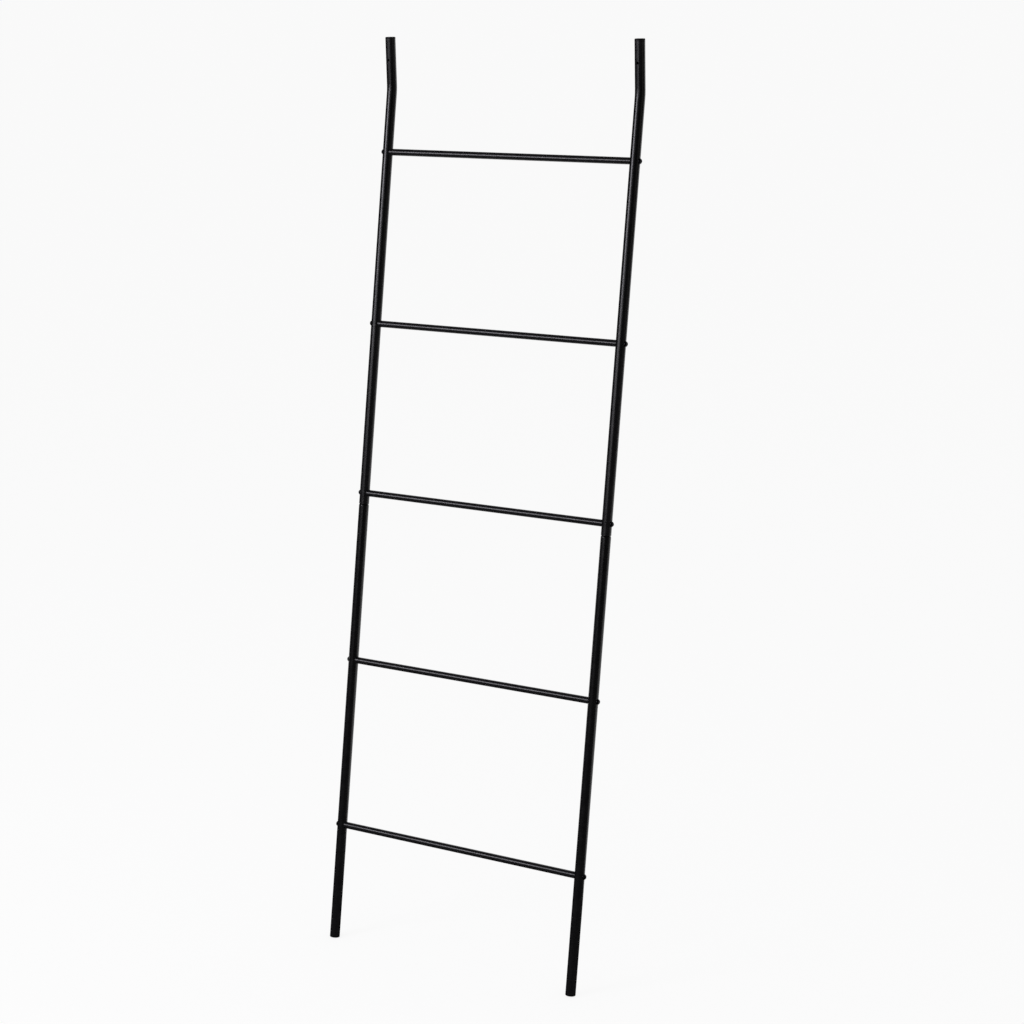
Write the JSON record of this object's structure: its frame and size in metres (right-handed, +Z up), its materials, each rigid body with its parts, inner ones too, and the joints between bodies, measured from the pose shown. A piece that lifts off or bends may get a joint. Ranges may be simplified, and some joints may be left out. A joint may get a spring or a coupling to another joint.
{
  "type": "blanket ladder",
  "caption": "Leaning ladder of black round steel tube: jointed rails with tops bent upright and drilled for the wall, thin rungs held by domed bolts, plastic end caps.",
  "frame": {"origin": "on the floor, in the middle of the ladder's width and depth", "axes": "+X to the right seen from the front, +Y from the room to the wall, +Z up"},
  "size_m": [0.5546, 0.317, 1.707],
  "materials": {
    "tube": "satin black powder coat on steel tube",
    "cap": "moulded black polyethylene, fine matt texture",
    "bolt": "black oxide alloy steel, slight oil sheen",
    "insert": "zinc plated turned steel"
  },
  "bodies": {
    "root": {"left_rail_upper": "tube", "left_rail_lower": "tube", "left_top_cap": "cap", "left_foot_cap": "cap", "right_rail_upper": "tube", "right_rail_lower": "tube", "right_top_cap": "cap", "right_foot_cap": "cap", "rung_1": "tube", "rung_1_insert_left": "insert", "rung_1_bolt_left": "bolt", "rung_1_insert_right": "insert", "rung_1_bolt_right": "bolt", "rung_2": "tube", "rung_2_insert_left": "insert", "rung_2_bolt_left": "bolt", "rung_2_insert_right": "insert", "rung_2_bolt_right": "bolt", "rung_3": "tube", "rung_3_insert_left": "insert", "rung_3_bolt_left": "bolt", "rung_3_insert_right": "insert", "rung_3_bolt_right": "bolt", "rung_4": "tube", "rung_4_insert_left": "insert", "rung_4_bolt_left": "bolt", "rung_4_insert_right": "insert", "rung_4_bolt_right": "bolt", "rung_5": "tube", "rung_5_insert_left": "insert", "rung_5_bolt_left": "bolt", "rung_5_insert_right": "insert", "rung_5_bolt_right": "bolt"}
  },
  "joints": []
}
